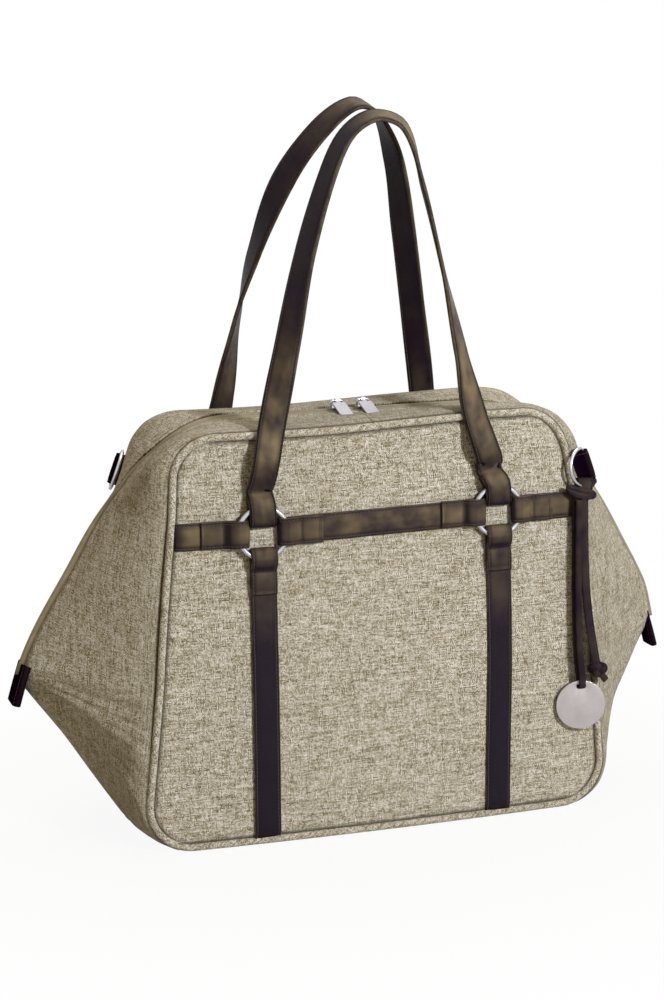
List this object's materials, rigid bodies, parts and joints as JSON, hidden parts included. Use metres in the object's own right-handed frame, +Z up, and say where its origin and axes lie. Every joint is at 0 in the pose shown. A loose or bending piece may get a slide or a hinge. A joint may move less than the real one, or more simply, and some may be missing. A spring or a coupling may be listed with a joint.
{
  "type": "diaper bag",
  "caption": "Winged zip-top tote for baby care with piped fabric panels, leather straps on rings, shoulder handles, side D-rings and a hanging medallion.",
  "frame": {"origin": "centre of the base, on the surface the bag stands on", "axes": "+Z up, -Y towards the front face, +X to the viewer's right"},
  "size_m": [0.5828, 0.1689, 0.5927],
  "materials": {
    "melange_fabric": "two-tone slubbed weave, matte",
    "dark_leather": "smooth aubergine-brown grain, soft sheen, turned and stitched edges",
    "satin_nickel": "satin",
    "zip_tape": "woven tape and coil",
    "lining_cloth": "plain weave",
    "board": "stiffener board",
    "lace": "cut leather lace, matte",
    "medallion_metal": "satin, pale"
  },
  "bodies": {
    "root": {"back_panel": "melange_fabric", "back_piping": "melange_fabric", "base_panel": "melange_fabric", "front_panel": "melange_fabric", "front_piping": "melange_fabric", "side_gusset_left_back": "melange_fabric", "side_gusset_left_front": "melange_fabric", "side_gusset_right_back": "melange_fabric", "side_gusset_right_front": "melange_fabric", "cross_strap_back_centre": "dark_leather", "cross_strap_back_left": "dark_leather", "cross_strap_back_right": "dark_leather", "cross_strap_front_centre": "dark_leather", "cross_strap_front_left": "dark_leather", "cross_strap_front_right": "dark_leather", "d_ring_tab_left": "dark_leather", "d_ring_tab_right": "dark_leather", "down_strap_back_left": "dark_leather", "down_strap_back_right": "dark_leather", "down_strap_front_left": "dark_leather", "down_strap_front_right": "dark_leather", "handle_end_back_left": "dark_leather", "handle_end_back_right": "dark_leather", "handle_end_front_left": "dark_leather", "handle_end_front_right": "dark_leather", "zip_tab_left": "dark_leather", "zip_tab_right": "dark_leather", "ring_back_left": "satin_nickel", "ring_back_right": "satin_nickel", "ring_front_left": "satin_nickel", "ring_front_right": "satin_nickel", "zipper_left": "zip_tape", "zipper_right": "zip_tape", "inner_pocket": "lining_cloth", "lining": "lining_cloth", "base_board": "board"},
    "mouth_front": {"top_flap_front": "melange_fabric", "zipper_tape_front": "zip_tape"},
    "mouth_back": {"top_flap_back": "melange_fabric", "zipper_tape_back": "zip_tape"},
    "slider_left": {"slider_left": "satin_nickel"},
    "slider_right": {"slider_right": "satin_nickel"},
    "pull_left": {"pull_tag_left": "satin_nickel"},
    "pull_right": {"pull_tag_right": "satin_nickel"},
    "handle_front": {"handle_front": "dark_leather"},
    "handle_back": {"handle_back": "dark_leather"},
    "d_ring_left": {"d_ring_left": "satin_nickel"},
    "d_ring_right": {"d_ring_right": "satin_nickel"},
    "charm": {"charm_hitch": "lace", "charm_lace": "lace", "charm_tail_front": "lace", "charm_tail_back": "lace", "lace_knot": "lace"},
    "medallion": {"medallion": "medallion_metal"}
  },
  "joints": [
    {"name": "mouth_front_hinge", "type": "hinge", "parent": "root", "child": "mouth_front", "pos_m": [0, -0.0555, 0.3294], "axis": [-1, 0, 0], "range_deg": [0, 70], "deforming": ["zipper_tape_front"]},
    {"name": "mouth_back_hinge", "type": "hinge", "parent": "root", "child": "mouth_back", "pos_m": [0, 0.0555, 0.3294], "axis": [1, 0, 0], "range_deg": [0, 70], "deforming": ["zipper_tape_back"]},
    {"name": "slider_left_slide", "type": "slide", "parent": "root", "child": "slider_left", "axis": [-1, 0, 0], "range_m": [0, 0.061]},
    {"name": "slider_right_slide", "type": "slide", "parent": "root", "child": "slider_right", "axis": [1, 0, 0], "range_m": [0, 0.061]},
    {"name": "pull_left_hinge", "type": "hinge", "parent": "slider_left", "child": "pull_left", "pos_m": [-0.015, 0, 0.34505], "axis": [-1, 0, 0], "range_deg": [0, 146]},
    {"name": "pull_right_hinge", "type": "hinge", "parent": "slider_right", "child": "pull_right", "pos_m": [0.015, 0, 0.34505], "axis": [-1, 0, 0], "range_deg": [0, 146]},
    {"name": "handle_front_hinge", "type": "hinge", "parent": "root", "child": "handle_front", "pos_m": [0, -0.06995, 0.29545], "axis": [1, 0, 0], "range_deg": [0, 165]},
    {"name": "handle_back_hinge", "type": "hinge", "parent": "root", "child": "handle_back", "pos_m": [0, 0.06995, 0.29545], "axis": [-1, 0, 0], "range_deg": [0, 165]},
    {"name": "d_ring_right_hinge", "type": "hinge", "parent": "root", "child": "d_ring_right", "pos_m": [0.18216, -0.05917, 0.28906], "axis": [-0.2079, 0, 0.9781], "range_deg": [0, 150]},
    {"name": "d_ring_left_hinge", "type": "hinge", "parent": "root", "child": "d_ring_left", "pos_m": [-0.18216, 0.05917, 0.28906], "axis": [-0.2079, 0, -0.9781], "range_deg": [0, 150]},
    {"name": "charm_hinge", "type": "hinge", "parent": "d_ring_right", "child": "charm", "pos_m": [0.18124, -0.06249, 0.27204], "axis": [-0.7824, -0.6003, -0.1661], "range_deg": [0, 95]},
    {"name": "medallion_hinge", "type": "hinge", "parent": "charm", "child": "medallion", "pos_m": [0.1725, -0.08, 0.1108], "axis": [-1, 0, 0], "range_deg": [0, 80], "deforming": ["charm_lace"]}
  ],
  "couplings": [
    {"joint": "mouth_back_hinge", "follows": "mouth_front_hinge", "ratio": 1},
    {"joint": "slider_left_slide", "follows": "mouth_front_hinge", "m_per_rad": 0.049929},
    {"joint": "slider_right_slide", "follows": "mouth_front_hinge", "m_per_rad": 0.049929}
  ]
}
